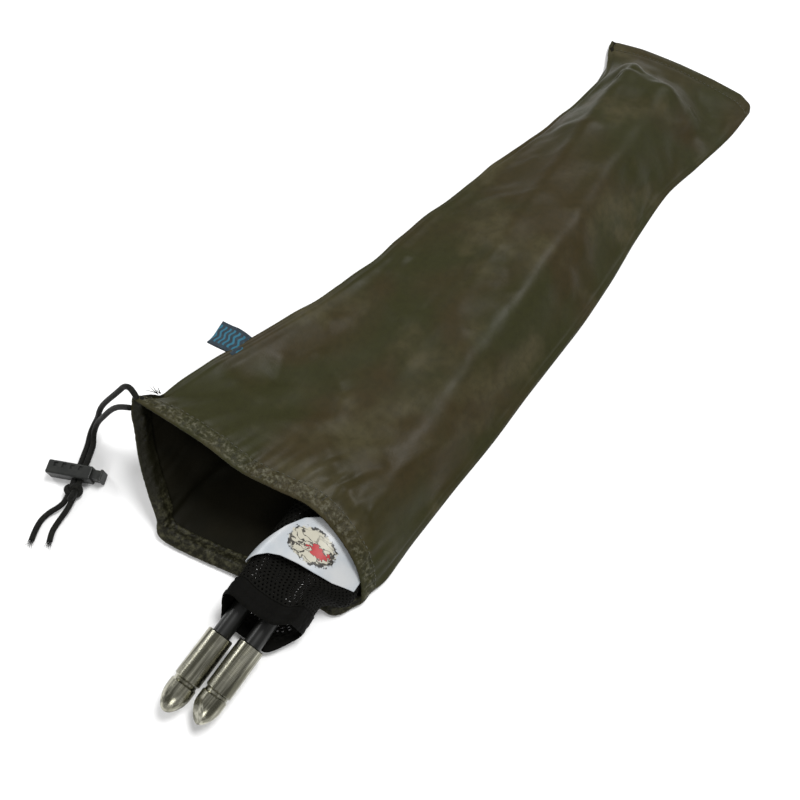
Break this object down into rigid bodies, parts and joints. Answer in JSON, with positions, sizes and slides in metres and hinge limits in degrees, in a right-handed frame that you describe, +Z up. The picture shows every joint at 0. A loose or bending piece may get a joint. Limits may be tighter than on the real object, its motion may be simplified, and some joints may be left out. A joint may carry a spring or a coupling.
{
  "type": "avalanche probe",
  "caption": "Folded corded avalanche probe with metal end fittings in a mesh sleeve, lying in an open olive drawstring sack.",
  "frame": {"origin": "middle of the resting face under the sack and probe", "axes": "+Z up, +Y from the sack's open mouth to its sewn bottom end, +X to the right seen from the mouth's side"},
  "size_m": [0.1843, 0.5192, 0.0642],
  "materials": {
    "coated_nylon": "coated, soft sheen",
    "woven_label": "woven",
    "black_cord": "braided",
    "black_plastic": "moulded",
    "spring_steel": "bright",
    "black_mesh": "open mesh",
    "black_hem": "woven",
    "printed_card": "white, printed",
    "elastic_cord": "braided",
    "satin_nickel": "satin nickel",
    "black_anodised": "black, glossy",
    "bare_aluminium": "satin"
  },
  "bodies": {
    "sack": {"sack_upper_panel": "coated_nylon", "sack_lower_panel": "coated_nylon", "mouth_casing": "coated_nylon", "woven_label": "woven_label", "drawcord_in_casing": "black_cord", "drawcord_strand_upper": "black_cord", "drawcord_strand_lower": "black_cord", "drawcord_knot": "black_cord"},
    "mesh_sleeve_body": {"mesh_sleeve": "black_mesh", "mesh_sleeve_hem": "black_hem"},
    "wrap": {"printed_wrap": "printed_card"},
    "folded_probe": {"probe_section_2": "black_anodised", "probe_section_3": "black_anodised", "probe_section_4": "black_anodised", "probe_section_5": "black_anodised", "insert_ferrule_2": "bare_aluminium", "insert_ferrule_3": "bare_aluminium", "insert_ferrule_4": "bare_aluminium", "insert_ferrule_5": "bare_aluminium", "tension_cord": "elastic_cord"},
    "tip_section": {"probe_section_1": "black_anodised", "insert_ferrule_1": "bare_aluminium", "tip_end_fitting": "satin_nickel", "tip_cord_washer": "spring_steel", "tip_cord_knot": "elastic_cord"},
    "head_section": {"probe_section_6": "black_anodised", "head_end_fitting": "satin_nickel", "head_cord_washer": "spring_steel", "head_cord_knot": "elastic_cord"},
    "cord_lock": {"cord_lock_body": "black_plastic", "cord_lock_spring": "spring_steel"},
    "lock_plunger": {"cord_lock_plunger": "black_plastic"}
  },
  "joints": [
    {"name": "bundle_slide", "type": "slide", "parent": "sack", "child": "mesh_sleeve_body", "axis": [0.061, -0.9981, 0], "range_m": [0, 0.42]},
    {"name": "probe_slide", "type": "slide", "parent": "mesh_sleeve_body", "child": "folded_probe", "axis": [0.061, -0.9981, 0], "range_m": [0, 0.42]},
    {"name": "wrap_slide", "type": "slide", "parent": "mesh_sleeve_body", "child": "wrap", "axis": [0.061, -0.9981, 0], "range_m": [0, 0.16]},
    {"name": "tip_section_draw", "type": "slide", "parent": "folded_probe", "child": "tip_section", "axis": [0.061, -0.9981, 0], "range_m": [0, 0.03], "stiffness_N_per_m": 25, "deforming": ["tension_cord"]},
    {"name": "head_section_draw", "type": "slide", "parent": "folded_probe", "child": "head_section", "axis": [0.061, -0.9981, 0], "range_m": [0, 0.03], "stiffness_N_per_m": 25},
    {"name": "cord_lock_slide", "type": "slide", "parent": "sack", "child": "cord_lock", "axis": [-0.454, 0.891, 0], "range_m": [0, 0.01]},
    {"name": "lock_button", "type": "slide", "parent": "cord_lock", "child": "lock_plunger", "axis": [-0.891, -0.454, 0], "range_m": [0, 0.0035], "stiffness_N_per_m": 300, "deforming": ["cord_lock_spring"]}
  ]
}
